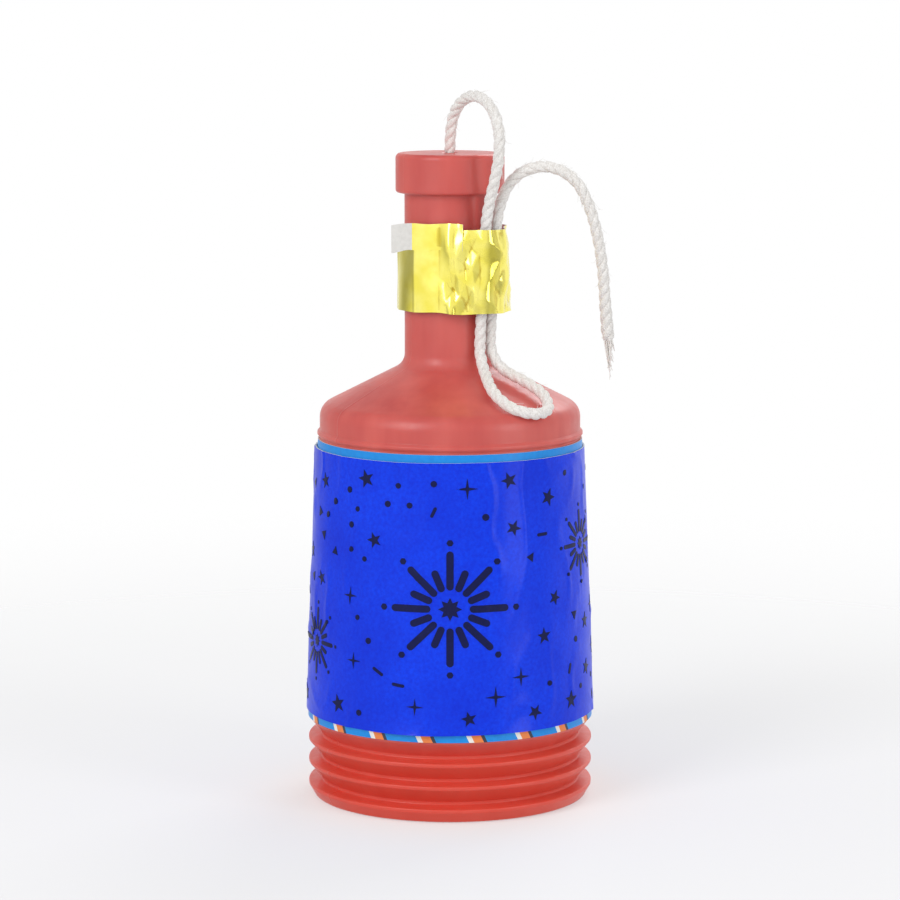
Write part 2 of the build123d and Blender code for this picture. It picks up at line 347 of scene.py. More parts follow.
# Pull string. Three-strand twisted cotton, 1.8 mm thick: it comes out of the hole in the
# neck's tip, passes the lip, slants in under the foil to the shoulder, doubles back in a
# loop, runs up under the foil again and ends in a cut tail that has frayed.
STRING_D = 1.8
STRING_BEARING = math.radians(-50.0)
STRANDS = 3
STRAND_R = 0.55
STRAND_OFFSET = 0.36
STRAND_FLATTENED = 1.12
STRAND_UNEVEN, UNEVEN_SHORT, UNEVEN_LONG, UNEVEN_SHIFT = 0.05, 2.3, 0.7, 2.0
STRAND_STARTS, STRAND_STOPS = 0.8, 0.6
STRAND_SIDES = 10
TWIST_PITCH = 5.2
STRAND_IN = 8.4
STRAND_OUT = 9.8
STRAND_SIDE = 1.05
STRING_ROUTE = [
    (0.0, 0.0, TIP_Z),
    (0.0, 0.0, 106.4),
    (2.4, -0.2, 110.0),
    (6.5, -0.5, 111.4),
    (10.6, -0.8, 110.0),
    (13.0, -1.0, 106.4),
    (13.1, -1.1, 102.2),
    (12.1, -1.1, 98.4),
    (10.7, -1.08, 94.8),
    (STRAND_OUT, -STRAND_SIDE, 91.0),
    (9.52, -STRAND_SIDE, 87.1),
    (8.6, -STRAND_SIDE, 74.3),
    (STRAND_IN, -STRAND_SIDE, 71.6),
    (9.7, -1.5, 69.3),
    (12.4, -2.9, 67.6),
    (15.6, -4.5, 66.0),
    (19.2, -4.3, 63.9),
    (21.4, -1.2, 62.8),
    (20.7, 2.7, 63.0),
    (17.5, 4.7, 65.0),
    (14.0, 3.7, 66.9),
    (11.2, 2.0, 68.3),
    (9.5, 1.3, 69.8),
    (STRAND_IN, STRAND_SIDE, 72.0),
    (8.58, STRAND_SIDE, 74.5),
    (9.5, STRAND_SIDE, 87.1),
    (STRAND_OUT, STRAND_SIDE, 91.2),
    (10.5, 1.5, 95.2),
    (11.8, 2.6, 98.4),
    (14.3, 4.5, 100.3),
    (17.2, 6.8, 100.3),
    (19.8, 8.9, 98.3),
    (21.0, 10.5, 94.4),
    (21.5, 11.9, 89.2),
    (21.5, 13.0, 83.8),
    (21.1, 13.8, 78.4),
    (21.2, 14.4, 73.2),
]


def spline_points(points):
    """The smooth line that has these points, in millimetres, as its control points."""
    curve = bpy.data.curves.new("route", "CURVE")
    curve.dimensions = "3D"
    spline = curve.splines.new("NURBS")
    spline.points.add(len(points) - 1)
    for control, point in zip(spline.points, points):
        control.co = (*(np.array(point) * 0.001), 1.0)
    spline.order_u = 3
    spline.use_endpoint_u = True
    spline.resolution_u = 20
    carrier = bpy.data.objects.new("route", curve)
    line = bpy.data.meshes.new_from_object(carrier)
    found = np.array([v.co for v in line.vertices], float) * 1000
    bpy.data.objects.remove(carrier)
    bpy.data.curves.remove(curve)
    bpy.data.meshes.remove(line)
    return found


def runs_along(line):
    """Length along a line up to each of its points."""
    return np.concatenate(([0.0], np.cumsum(np.linalg.norm(np.diff(line, axis=0), axis=1))))


def carried_frames(line):
    """Directions along a line, and two across it that turn as little as they can."""
    along = np.gradient(line, axis=0)
    along /= np.linalg.norm(along, axis=1)[:, None]
    no_run_goes_this_way = (0.31, 0.94, 0.13)
    first = np.cross(along[0], no_run_goes_this_way)
    sides = [first / np.linalg.norm(first)]
    for direction in along[1:]:
        side = sides[-1] - direction * (sides[-1] @ direction)
        sides.append(side / np.linalg.norm(side))
    sides = np.array(sides)
    return along, sides, np.cross(along, sides)


def swung(turn, first, second):
    """A direction turned by an angle from one direction towards another."""
    return np.cos(turn) * first + np.sin(turn) * second


def tube(centres, first, second, radii, sides):
    """A closed tube through rings that face two directions."""
    rings = []
    for centre, across, up, radius in zip(centres, first, second, radii):
        rings.append([centre + radius * swung(turn, across, up) for turn in once_round(sides)])
    return loft(rings)


def joined(parts):
    """Several lists of points and faces as one."""
    points, faces = [], []
    for part_points, part_faces in parts:
        start = len(points)
        points += list(part_points)
        faces += [tuple(start + i for i in face) for face in part_faces]
    return points, faces


def twisted(line, size=1.0, pitch=TWIST_PITCH):
    """Strands laid round a line like a rope, of one size or of a size at each point."""
    along, side, up = carried_frames(line)
    length = runs_along(line)
    sizes = np.full(len(line), size)
    strands = []
    for strand in range(STRANDS):
        angle = math.tau * (length / pitch + strand / STRANDS)
        out = swung(angle[:, None], side, up)
        round_it = np.cross(along, out) * STRAND_FLATTENED
        uneven = STRAND_UNEVEN * np.sin(length * UNEVEN_SHORT + strand * UNEVEN_SHIFT)
        uneven *= np.sin(length * UNEVEN_LONG + strand)
        radii = STRAND_R * sizes * (1.0 + uneven)
        radii[0] *= STRAND_STARTS
        radii[-1] *= STRAND_STOPS
        centres = line + out * (STRAND_OFFSET * sizes)[:, None]
        strands.append(tube(centres, out, round_it, radii, STRAND_SIDES))
    return joined(strands)


out_way = np.array((*polar(1.0, STRING_BEARING), 0.0))
across_way = np.array((-out_way[1], out_way[0], 0.0))
up_way = np.array((0.0, 0.0, 1.0))
route = [out_way * out + across_way * across + up_way * z for out, across, z in STRING_ROUTE]
string_line = spline_points(route)
string_runs = runs_along(string_line)
string_length = float(string_runs[-1])

# Bleached cotton: soft matt white, slightly warm, with yarn shadows between the strands
# and a thin sheen of loose fibre. Yarns of 0.25 mm are drawn as fine noise.
cotton, tree, shader, place = new_finish(
    "twisted_bleached_cotton", Roughness=0.9, IOR=1.45, Sheen_Weight=0.35, Sheen_Roughness=0.5
)
yarns = add(tree, "TexNoise", {"Vector": place, "Scale": per_mm(0.25), "Detail": 4.0})
stains = add(tree, "TexNoise", {"Vector": place, "Scale": per_mm(7.0), "Detail": 2.0})
white = blend(tree, yarns, "#E2DDD8", "#FBF9F6", (0.3, 0.65))
white = blend(tree, stains, white, "#E6DDD2", (0.55, 0.8), 0.3)
yarn_bump = add(tree, "Bump", {"Height": yarns, "Strength": 0.6, "Distance": 0.00012})
fill(tree, shader, {"Base Color": white, "Normal": yarn_bump})

# Loose fibres stand off the twist, but not where it slides past the foil or the lip, or
# lies on the shoulder. At the cut end the twist swells and its strands open into yarns that
# stop at different lengths, bent out or in: two short tufts and a drawn-out wisp.
FRAY_YARNS = 9
FRAY_ROOT = 0.8
FRAY_SPREAD = 0.36
STRAND_ENDS = [(2.0, 1.2), (3.6, 0.3), (7.2, -0.2)]
YARN_R, YARN_CUT, YARN_BEND, BENT_BACK = (0.10, 0.16), (0.45, 1.0), 0.06, 2.5
SWELL_FROM_END = [0.0, 2.0, 9.0]
SWELL = [1.06, 1.16, 1.0]
FUZZ_COUNT = 220
FUZZ_R, FUZZ_LENGTH, FUZZ_LEAN, FUZZ_BEND = (0.025, 0.04), (0.7, 1.8), (0.1, 0.5), 0.22
FUZZ_OUT = 0.8
FUZZ_FREE_ENDS = 4
FUZZ_FREE_R = 12.0
FUZZ_FREE_LOW = 68.0
FUZZ_FREE_HIGH = TIP_Z + 0.5
SHOULDER_HIGH = 71.0
UPWARD = 0.45
FIBRE_TIP = 0.45
draw = random.Random(31)


def bent(most):
    """A small random change of direction."""
    return np.array([draw.uniform(-most, most) for _ in range(3)])


def fibre(start, way, length, radius, curl, sides=4, steps=6):
    """A thin closed tube that leaves a point, bends as it goes and thins out."""
    centres = [start]
    for _ in range(steps):
        way = way / np.linalg.norm(way)
        centres.append(centres[-1] + way * length / steps)
        way = way + curl
    centres = np.array(centres)
    _, first, second = carried_frames(centres)
    return tube(centres, first, second, radius * np.linspace(1.0, FIBRE_TIP, steps + 1), sides)


along, side_way, rise_way = carried_frames(string_line)
fibres = []
while len(fibres) < FUZZ_COUNT:
    spot = draw.randrange(FUZZ_FREE_ENDS, len(string_line) - FUZZ_FREE_ENDS)
    turn = draw.uniform(0, math.tau)
    outward = swung(turn, side_way[spot], rise_way[spot])
    here = string_line[spot] + outward * FUZZ_OUT
    by_neck = math.hypot(here[0], here[1]) < FUZZ_FREE_R and FUZZ_FREE_LOW < here[2] < FUZZ_FREE_HIGH
    on_shoulder = here[2] < SHOULDER_HIGH and outward[2] < UPWARD
    if by_neck or on_shoulder:
        continue
    way = outward * draw.uniform(*FUZZ_LEAN) + along[spot] * draw.choice((-1, 1))
    curl = bent(FUZZ_BEND)
    fibres.append(fibre(here, way, draw.uniform(*FUZZ_LENGTH), draw.uniform(*FUZZ_R), curl))
tail, tail_way = string_line[-1], along[-1]
for strand, (strand_end, bend) in enumerate(STRAND_ENDS):
    turn = math.tau * (string_length / TWIST_PITCH + strand / STRANDS)
    outward = swung(turn, side_way[-1], rise_way[-1])
    strand_middle = tail + outward * STRAND_OFFSET
    tip = strand_middle + tail_way * strand_end + outward * bend
    for _ in range(FRAY_YARNS):
        spread = [way * draw.uniform(-FRAY_SPREAD, FRAY_SPREAD) for way in (side_way[-1], rise_way[-1])]
        here = strand_middle + sum(spread) - tail_way * FRAY_ROOT
        length = np.linalg.norm(tip - here)
        curl = bent(YARN_BEND)
        way = (tip - here) / length - BENT_BACK * curl
        length *= draw.uniform(*YARN_CUT)
        fibres.append(fibre(here, way, length, draw.uniform(*YARN_R), curl, sides=6, steps=8))

swelling = np.interp(string_length - string_runs, SWELL_FROM_END, SWELL)
pull_string = new_piece("pull_string_twist", *twisted(string_line, swelling), [cotton])
string_fray = new_piece("pull_string_fray", *joined(fibres), [cotton])
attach(pull_string, "string")
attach(string_fray, "string")
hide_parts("pull_string")

# Inside the neck the string runs straight down through the igniter to a hard pulled knot,
# which tears the friction composition when the string is pulled.
CORE_SIZE = 0.95
CORE_SHORT = 0.2
CORE_STEPS = 60
KNOT_SIZE = 0.78
KNOT_PITCH = 4.0
KNOT_R = 0.37
KNOT_RISE = 0.85
KNOT_STEPS = 120
core_low, core_high = (corner.z * 1000 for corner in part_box("string_core"))
core_line = np.array([(0.0, 0.0, z) for z in np.linspace(core_low, core_high - CORE_SHORT, CORE_STEPS)])
string_core = new_piece("string_core_twist", *twisted(core_line, CORE_SIZE), [cotton])
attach(string_core, "string")
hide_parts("string_core")

# An overhand knot is drawn as a trefoil pulled flat.
knot_low, knot_high = (corner.z * 1000 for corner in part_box("pull_knot"))
t = once_round(KNOT_STEPS)
knot_x = KNOT_R * (np.sin(t) + 2 * np.sin(2 * t))
knot_y = KNOT_R * (np.cos(t) - 2 * np.cos(2 * t))
knot_z = (knot_low + knot_high) / 2 - KNOT_RISE * np.sin(3 * t)
knot_line = np.column_stack((knot_x, knot_y, knot_z))
pull_knot = new_piece("pull_knot_twist", *twisted(knot_line, KNOT_SIZE, KNOT_PITCH), [cotton])
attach(pull_knot, "string")
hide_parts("pull_knot")

# Neck foil. A strip of gold metallised paper, 13 mm wide, is wound round the neck over
# both runs of the string to hold them down. It is folded on by hand, so it goes round in
# flats, crumpled over the string, and its narrow end stands off with bare paper showing.
FOIL_FROM_ROOT = 8.5
FOIL_NECK_GAP = 0.12
FOIL_STRAND_GAP = 0.14
FOIL_Z = ROOT_Z + FOIL_FROM_ROOT
FOIL_LENGTH = 13.0
FOIL_PAPER = 0.2
FOIL_FLATS = 7
FOIL_FOLD_R = 0.5
FOIL_NECK_R = NECK_R + FOIL_NECK_GAP
FOIL_STRAND_R = STRING_D / 2 + FOIL_STRAND_GAP
FOIL_STRAND_LOW = 8.85
FOIL_CLEAR = 0.03
FOIL_ROUND = 330
FOIL_RISE = 62
FIRST_FOLD = math.radians(-82.5)
HULL_STEPS = 360
EDGE_WANDER, EDGE_WAVES = 0.22, 0.25
LOW_EDGE_SEED, HIGH_EDGE_SEED = 0.0, 9.0


def hull_loop(strand_out):
    """The tight loop round the folded flats on the neck and the two strands, from above."""
    folds = FIRST_FOLD + once_round(FOIL_FLATS)
    fold_out = (FOIL_NECK_R - FOIL_FOLD_R) / math.cos(math.pi / FOIL_FLATS)
    rings = [(*polar(fold_out, fold), FOIL_FOLD_R) for fold in folds]
    rings += [(strand_out, side, FOIL_STRAND_R) for side in (-STRAND_SIDE, STRAND_SIDE)]
    turns = once_round(HULL_STEPS)
    cloud = [(x + r * math.cos(turn), y + r * math.sin(turn)) for x, y, r in rings for turn in turns]
    loop = np.array([cloud[i] for i in geometry.convex_hull_2d(cloud)])
    return np.roll(loop, -int(loop[:, 0].argmin()), axis=0)


def turned(loop):
    """Points from the string's side view of the neck, turned to its bearing."""
    return loop[:, :1] * out_way[:2] + loop[:, 1:] * across_way[:2]


# The strip goes wide round the strands at its edge near the tip, where they lean out, and
# slim at its other edge. Both loops get the same number of evenly spaced places.
wide_loop, slim_loop = hull_loop(STRAND_OUT), hull_loop(FOIL_STRAND_LOW)
closed_loop = np.vstack((wide_loop, wide_loop[:1]))
loop_runs = runs_along(closed_loop)
girth = float(loop_runs[-1])
foil_runs = np.linspace(0, girth, FOIL_ROUND, endpoint=False)
wide_loop = np.column_stack([np.interp(foil_runs, loop_runs, closed_loop[:, k]) for k in (0, 1)])
foil_angles = np.arctan2(wide_loop[:, 1], wide_loop[:, 0])
slim_angles = np.arctan2(slim_loop[:, 1], slim_loop[:, 0])
slim_r = np.interp(foil_angles, slim_angles, np.linalg.norm(slim_loop, axis=1), period=math.tau)
slim_loop = np.column_stack((slim_r * np.cos(foil_angles), slim_r * np.sin(foil_angles)))
wide_loop, slim_loop = turned(wide_loop), turned(slim_loop)
onward = np.roll(wide_loop, -1, axis=0) - np.roll(wide_loop, 1, axis=0)
foil_ways = np.column_stack((onward[:, 1], -onward[:, 0]))
foil_ways /= np.linalg.norm(foil_ways, axis=1)[:, None]

# Crumpling by angle from the string: sharp over the string, nearly flat on the next flat.
# Facets have a size, a depth and a turn, and small ones lie on the large ones.
CRUMPLED = [-180, -168, -150, -128, -52, -38, 60, 95, 150, 168, 180]
CRUMPLE = [0.0, 0.0, 0.4, 0.05, 0.05, 1.0, 1.0, 0.4, 0.4, 0.0, 0.0]
FACETS = [(2.7, 0.8, 0.30), (1.5, 0.45, -0.45)]
FACET_LONG = 1.6
crumple = np.interp(np.degrees(foil_angles), CRUMPLED, CRUMPLE)


def crumpled(run, rise, size, depth, turn):
    """Height of a surface of flat facets: corners of a skewed grid are up, halfway or down."""
    u = (run * math.cos(turn) + rise * math.sin(turn)) / size
    v = (rise * math.cos(turn) - run * math.sin(turn)) / (FACET_LONG * size)
    i, j = math.floor(u), math.floor(v)
    corner = {}
    for spot in ((i, j), (i + 1, j), (i, j + 1), (i + 1, j + 1)):
        corner[spot] = round(2 * abs(noise.cell(Vector((spot[0] + 0.5, spot[1] + 0.5, size))))) / 2
    du, dv = u - i, v - j
    if du + dv < 1:
        shares = {(i + 1, j): du, (i, j + 1): dv, (i, j): 1 - du - dv}
    else:
        shares = {(i + 1, j): 1 - dv, (i, j + 1): 1 - du, (i + 1, j + 1): du + dv - 1}
    return depth * sum(corner[spot] * share for spot, share in shares.items())


def foil_creases(run, rise):
    """How far the foil stands off where it is crumpled."""
    return sum(crumpled(run, rise, *facets) for facets in FACETS)


def on_foil(k, rise, above):
    """A point at a place round the foil and a height on it, so far above the strip's back."""
    off = FOIL_CLEAR + foil_creases(foil_runs[k], rise) * crumple[k] + above
    x, y = slim_loop[k] + (wide_loop[k] - slim_loop[k]) * rise / FOIL_LENGTH + foil_ways[k] * off
    return np.array((x, y, FOIL_Z + rise))


def foil_edge(k, seed):
    """How far the cut edge wanders at a place round the foil."""
    return EDGE_WANDER * noise.noise(Vector((*(wide_loop[k] * EDGE_WAVES), seed)))


def thin_sheet(columns, spot, thickness, closed=False):
    """A closed sheet of paper over columns, each of which is a place and its heights.

    The function spot gives the point at a place and a height that is so far above the back.
    The marks of the faces are 0 on the sheet's front and 1 on its back and edges.
    """
    rings = []
    for place, heights in columns:
        front, back = ([spot(place, height, above) for height in heights] for above in (thickness, 0.0))
        rings.append(front[::-1] + back)
    points, faces = loft(rings, closed)
    rows, strips = len(rings[0]) // 2, len(rings) - (not closed)
    marks = ([0] * (rows - 1) + [1] * (rows + 1)) * strips
    return points, faces, marks + [1] * (len(faces) - len(marks))


foil_columns = []
for k in range(FOIL_ROUND):
    low, high = foil_edge(k, LOW_EDGE_SEED), FOIL_LENGTH + foil_edge(k, HIGH_EDGE_SEED)
    foil_columns.append((k, np.linspace(low, high, FOIL_RISE)))
foil_points, foil_faces, foil_marks = thin_sheet(foil_columns, on_foil, FOIL_PAPER, closed=True)

# The strip's outer end is a narrow tab at the edge near the tip. It lies on the band as
# far as a fold, then stands off straight, and the film has come away from its last part.
TAB_BEARING = math.radians(-112.0)
TAB_LAP = 8.0
TAB_FREE = 3.8
TAB_WIDTH = 4.2
TAB_ABOVE = 0.9
TAB_STEP = 0.3
TAB_RISE = 14
TAB_GAP = 0.06
TAB_DROOP = 0.10
TAB_SPRING, SPRING_POWER = 0.05, 1.5
LOW_CUT, LOW_CUT_WAVES = 0.15, 1.3
HIGH_CUT, HIGH_CUT_WAVES = 0.10, 0.8
TAB_RIPPLE = 0.12
TAB_CREASES = 40.0
BARE_PAPER = 3.3
tab_normal = np.array((*polar(1.0, TAB_BEARING), 0.0))
tab_way = np.array((tab_normal[1], -tab_normal[0], 0.0))
tab_fold = int(np.argmax(wide_loop @ tab_normal[:2]))


def on_tab(run, rise, above):
    """A point of the tab at a run from its fold: on the band, or past the fold and off it."""
    k = int(round(tab_fold - min(run, 0.0) / girth * FOIL_ROUND)) % FOIL_ROUND
    free = max(run, 0.0)
    ripple = TAB_RIPPLE * free / TAB_FREE * foil_creases(run + TAB_CREASES, rise)
    shift = tab_way * free + tab_normal * TAB_SPRING * free**SPRING_POWER
    return on_foil(k, rise, FOIL_PAPER + TAB_GAP + ripple + above) + shift


tab_columns = []
for run in np.arange(TAB_FREE, -TAB_LAP, -TAB_STEP):
    edge = FOIL_LENGTH + TAB_ABOVE - TAB_DROOP * max(run, 0.0)
    low = edge - TAB_WIDTH + LOW_CUT * math.sin(run * LOW_CUT_WAVES)
    high = edge + HIGH_CUT * math.sin(run * HIGH_CUT_WAVES)
    tab_columns.append((run, np.linspace(low, high, TAB_RISE)))
tab_points, tab_faces, tab_marks = thin_sheet(tab_columns, on_tab, FOIL_PAPER)
bare_faces = round(BARE_PAPER / TAB_STEP) * 2 * TAB_RISE
tab_marks[:bare_faces] = [1] * bare_faces

# Gold foil paper: bright lemon-gold metal film, mirror-like on the flats, with painted shade of darker
# olive in the creases, and a fine haze where it has been rubbed.
gold, tree, shader, place = new_finish("gold_metallised_foil", Metallic=1.0)
haze = add(tree, "TexNoise", {"Vector": place, "Scale": per_mm(3.0), "Detail": 4.0})
# Painted shade: where the foil folds inward, its colour goes over to dark olive.
fold = add(tree, "NewGeometry", out="Pointiness")
film = blend(tree, haze, "#F8EA62", "#FFF482", (0.35, 0.65))
film = blend(tree, fold, film, "#B08E0C", (0.498, 0.475), 0.8)
film_gloss = add(tree, "MapRange", {0: haze, 1: 0.3, 2: 0.7, 3: 0.14, 4: 0.20})
rub = add(tree, "TexNoise", {"Vector": place, "Scale": per_mm(0.8), "Detail": 3.0})
rub_bump = add(tree, "Bump", {"Height": rub, "Strength": 0.03, "Distance": 0.0002})
fill(tree, shader, {"Base Color": film, "Roughness": film_gloss, "Normal": rub_bump})

# Paper back: thin uncoated white paper, matt, with a faint grey fibre mottle.
paper, tree, shader, place = new_finish("uncoated_white_paper", Roughness=0.9, IOR=1.45)
mottle = add(tree, "TexNoise", {"Vector": place, "Scale": per_mm(0.6), "Detail": 5.0})
mottle_bump = add(tree, "Bump", {"Height": mottle, "Strength": 0.3, "Distance": 0.00006})
pulp = blend(tree, mottle, "#D3D2CE", "#EFEEEA")
fill(tree, shader, {"Base Color": pulp, "Normal": mottle_bump})

foil_parts = joined([(foil_points, foil_faces), (tab_points, tab_faces)])
foil = new_piece("neck_foil_strip", *foil_parts, [gold, paper], foil_marks + tab_marks)
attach(foil, "bottle")
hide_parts("neck_foil")

# Inner label. A first wrap of printed paper is glued round the barrel; the second wrap
# covers all of it but a narrow cyan edge above and below.
LABEL_PAPER = 0.25
GLUE_GAP = 0.05
INNER_MARGIN = 0.3
INNER_LOW, INNER_HIGH = FOOT_Z + INNER_MARGIN, BARREL_TOP_Z - INNER_MARGIN
INNER_ROWS = 16
LABEL_ROUND = 360


def barrel_r(z):
    """Outside radius of the tapered barrel at a height."""
    return FOOT_R + (BARREL_TOP_R - FOOT_R) * (z - FOOT_Z) / (BARREL_TOP_Z - FOOT_Z)


def on_barrel(turn, z, lift):
    """A point at a bearing and height, so far off the bare barrel."""
    return *polar(barrel_r(z) + lift, turn), z


def on_inner(turn, z, above):
    """A point so far above the back of the inner wrap, which is glued to the barrel."""
    return on_barrel(turn, z, GLUE_GAP + above)


# Printed label stock: coated paper, cyan ink with a satin varnish. The mouth edge carries
# a border of long slanted dashes, each followed by a white sliver, orange and dark grey.
DASH_COUNT = 18
DASH_SLANT = 60.0
DASH_COLOURS = [(0.64, "#F2F0EA"), (0.74, "#F08A4A"), (0.93, "#3A3F4C")]
BORDER_HIGH = 0.030
cyan_print, tree, shader, place = new_finish(
    "cyan_printed_label_stock", IOR=1.48, Specular_IOR_Level=0.3, Coat_Weight=0.15, Coat_Roughness=0.3
)
bearing, height = round_axis(tree, place)
slant = add(tree, "Math", {0: height, 1: DASH_SLANT}, operation="MULTIPLY")
dash_turn = {0: bearing, 1: DASH_COUNT / math.tau, 2: slant}
dash_run = add(tree, "Math", dash_turn, operation="MULTIPLY_ADD")
dash = add(tree, "Math", {0: dash_run}, operation="FRACT")
ink = add(tree, "TexNoise", {"Vector": place, "Scale": per_mm(0.7), "Detail": 4.0})
cyan = blend(tree, ink, "#0A82DC", "#1C9CF0")
border = cyan
for start, code in DASH_COLOURS:
    past = add(tree, "Math", {0: dash, 1: start}, operation="GREATER_THAN")
    border = blend(tree, past, border, code)
in_border = add(tree, "Math", {0: height, 1: BORDER_HIGH}, operation="LESS_THAN")
printed = blend(tree, in_border, cyan, border)
varnish = add(tree, "MapRange", {0: ink, 1: 0.3, 2: 0.7, 3: 0.36, 4: 0.5})
fill(tree, shader, {"Base Color": printed, "Roughness": varnish})

inner_rows = np.linspace(INNER_LOW, INNER_HIGH, INNER_ROWS)
inner_columns = [(turn, inner_rows) for turn in once_round(LABEL_ROUND)]
points, faces, marks = thin_sheet(inner_columns, on_inner, LABEL_PAPER, closed=True)
inner_label = new_piece("inner_label_wrap", points, faces, [cyan_print, paper], marks)
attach(inner_label, "bottle")
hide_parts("inner_label")

# Outer label. The second wrap of gloss paper, printed royal blue, goes once round the
# barrel and laps over its own start at the back. Its edges lift a little where the glue
# has let go, and it has the shallow wrinkles of paper put on by hand.
SETBACK = 1.2
LABEL_LOW, LABEL_HIGH = INNER_LOW + SETBACK, INNER_HIGH - SETBACK
LABEL_ROWS = 44
LAP_BEARING = math.radians(100.0)
LAP_ANGLE = math.radians(14.0)
LAP_ROUND = 14
LAP_RISE = math.radians(7.0)
LAP_CURL = 0.35
CURL_ANGLE = math.radians(8.0)
CUT_WANDER, CUT_WAVES, CUT_SEED, HIGH_WANDER = 0.12, 1.2, 5.0, 0.8
WAVE, WAVES_ROUND, WAVES_ALONG = 0.10, 2.2, 0.09
CREASE, CREASES_ROUND, CREASES_ALONG, CREASE_FROM, CREASE_SEED = 0.16, 3.4, 0.11, 0.86, 2.0
LOOSE_LOW, LOOSE_LOW_WIDTH = 0.75, 5.0
LOOSE_HIGH, LOOSE_HIGH_WIDTH = 0.35, 4.0
LOOSE_ROUND, LOOSE_OFTEN, LOOSE_SEED = 1.7, 0.1, 8.0


def outer_heights(turn):
    """Heights of the wrap's rows at a bearing, closer together at its two cut edges."""
    wander = CUT_WANDER * noise.noise(Vector((*polar(CUT_WAVES, turn), CUT_SEED)))
    low = LABEL_LOW + wander
    high = LABEL_HIGH + HIGH_WANDER * wander
    shares = 0.5 - 0.5 * np.cos(np.linspace(0, math.pi, LABEL_ROWS))
    return low + (high - low) * shares


def outer_lift(turn, z):
    """Stand-off of the outer wrap: glue, wrinkles, lifted edges and the lap."""
    around = Vector((*polar(1.0, turn), 0.0))
    lift = LABEL_PAPER + 2 * GLUE_GAP
    lift += WAVE * (0.5 + noise.noise(around * WAVES_ROUND + Vector((0, 0, z * WAVES_ALONG))))
    crease = 1 - abs(noise.noise(around * CREASES_ROUND + Vector((CREASE_SEED, 0, z * CREASES_ALONG))))
    lift += CREASE * max(0.0, crease - CREASE_FROM) / (1 - CREASE_FROM)
    low_share = max(0.0, 1 - (z - LABEL_LOW) / LOOSE_LOW_WIDTH)
    high_share = max(0.0, 1 - (LABEL_HIGH - z) / LOOSE_HIGH_WIDTH)
    loose = max(0.0, LOOSE_OFTEN + noise.noise(around * LOOSE_ROUND + Vector((0, 0, LOOSE_SEED))))
    lift += loose * (LOOSE_LOW * low_share**2 + LOOSE_HIGH * high_share**2)
    past_start = turn - LAP_BEARING - math.tau
    lift += (LABEL_PAPER + GLUE_GAP) * max(0.0, min(1.0, 1 + past_start / LAP_RISE))
    lift += LAP_CURL * max(0.0, 1 - (LAP_ANGLE - past_start) / CURL_ANGLE) ** 2
    return lift


def on_outer(turn, z, above):
    """A point so far above the back of the outer wrap."""
    return on_barrel(turn, z, outer_lift(turn, z) + above)


# Gloss-coated label paper: saturated royal blue ink under a clear varnish, with a soft
# mottle in the ink and a slight orange-peel in the gloss. Its cut edges show white paper.
blue_print, tree, shader, place = new_finish(
    "royal_blue_gloss_label", IOR=1.5, Specular_IOR_Level=0.12, Coat_Weight=0.15, Coat_Roughness=0.16
)
ink = add(tree, "TexNoise", {"Vector": place, "Scale": per_mm(0.5), "Detail": 3.0})
pool = add(tree, "TexNoise", {"Vector": place, "Scale": per_mm(11.0), "Detail": 3.0})
blue = blend(tree, ink, "#0434E4", "#0644F6", (0.3, 0.7))
blue = blend(tree, pool, blue, "#0222C8", (0.35, 0.7), 0.45)
gloss = add(tree, "MapRange", {0: pool, 1: 0.3, 2: 0.7, 3: 0.30, 4: 0.42})
peel = add(tree, "TexNoise", {"Vector": place, "Scale": per_mm(1.8), "Detail": 2.0})
peel_bump = add(tree, "Bump", {"Height": peel, "Strength": 0.12, "Distance": 0.00012})
fill(tree, shader, {"Base Color": blue, "Roughness": gloss, "Normal": peel_bump})

outer_turns = LAP_BEARING + np.linspace(0, math.tau + LAP_ANGLE, LABEL_ROUND + LAP_ROUND)
outer_columns = [(turn, outer_heights(turn)) for turn in outer_turns]
points, faces, marks = thin_sheet(outer_columns, on_outer, LABEL_PAPER)
outer_label = new_piece("outer_label_wrap", points, faces, [blue_print, paper], marks)
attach(outer_label, "bottle")
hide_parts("outer_label")

# Label print. A plain party pattern in dark navy ink: bursts of rays with stars, sparkles,
# dots, dashes and triangles scattered round them. Each mark is a thin film of ink.
INK_ABOVE = 0.06
INK_BELOW = 0.08
INK_STEP = 0.6
BAR_END_STEPS = 6


def on_label(turn, z, above):
    """A point so far above the outer label's face, whose bearings begin at its lap."""
    return on_outer(turn if turn > LAP_BEARING else turn + math.tau, z, LABEL_PAPER + above)


def ink_mark(corners, turn, z, rings=3):
    """A closed film of ink wrapped on the label, from a shape that is open to its own middle."""
    cx, cy = np.mean(corners, axis=0)
    shape = []
    for (x0, y0), (x1, y1) in zip(corners, corners[1:] + corners[:1]):
        steps = max(1, math.ceil(math.hypot(x1 - x0, y1 - y0) / INK_STEP))
        for share in np.arange(steps) / steps:
            shape.append((x0 + (x1 - x0) * share - cx, y0 + (y1 - y0) * share - cy))
    turn, z = turn + cx / barrel_r(z), z + cy
    radius = barrel_r(z)
    under = [(-INK_BELOW, (ring + 1) / rings) for ring in range(rings)]
    over = [(INK_ABOVE, share) for _, share in reversed(under)]
    loops = []
    for above, share in under + over:
        loops.append([on_label(turn + x * share / radius, z + y * share, above) for x, y in shape])
    points, faces = loft(loops, ends=False)
    count, middle = len(shape), len(points)
    points += [on_label(turn, z, -INK_BELOW), on_label(turn, z, INK_ABOVE)]
    for k in range(count):
        after = (k + 1) % count
        faces += [(middle, after, k), (middle + 1, middle - count + k, middle - count + after)]
    return points, faces


def rays(count, outer, inner, turn=0.0):
    """The outline of a star with a number of points."""
    return [polar(inner if k % 2 else outer, turn + math.pi * k / count) for k in range(2 * count)]


